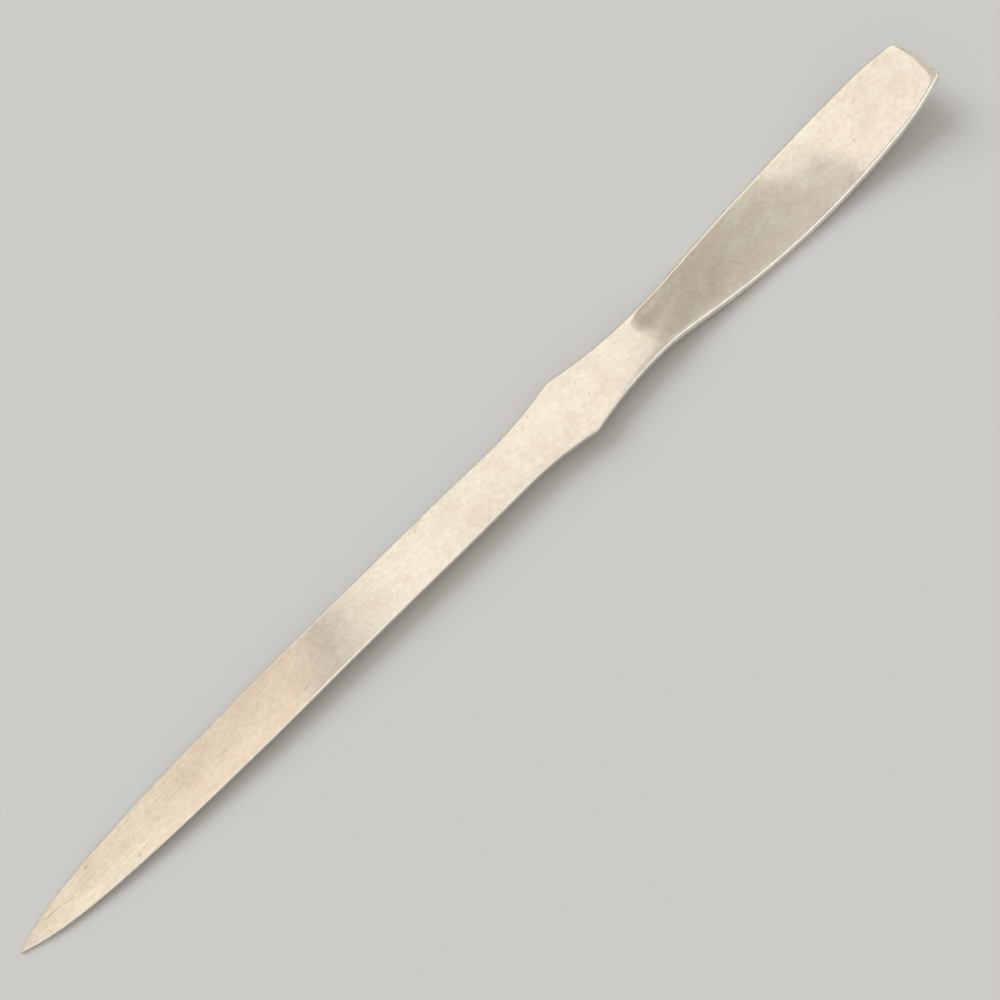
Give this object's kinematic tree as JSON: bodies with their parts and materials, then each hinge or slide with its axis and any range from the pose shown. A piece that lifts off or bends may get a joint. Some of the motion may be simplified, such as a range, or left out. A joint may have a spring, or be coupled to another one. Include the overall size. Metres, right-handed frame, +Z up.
{
  "type": "letter opener",
  "caption": "One-piece stainless steel letter opener: flat tapering blade with a rounded-in point, pointed shoulders, slim neck and a bowed paddle handle with softened edges.",
  "frame": {"origin": "on the table under the middle of the length, where the tip and the belly of the handle touch the table", "axes": "+X from the blade's tip towards the handle's end, +Y across the blade, +Z up, square to the blade's flat"},
  "size_m": [0.2197, 0.0152, 0.0082],
  "materials": {
    "satin_steel": "satin polished stainless steel with fine scratches and a faint warm mottling"
  },
  "bodies": {
    "root": {"blade_and_handle": "satin_steel"}
  },
  "joints": []
}
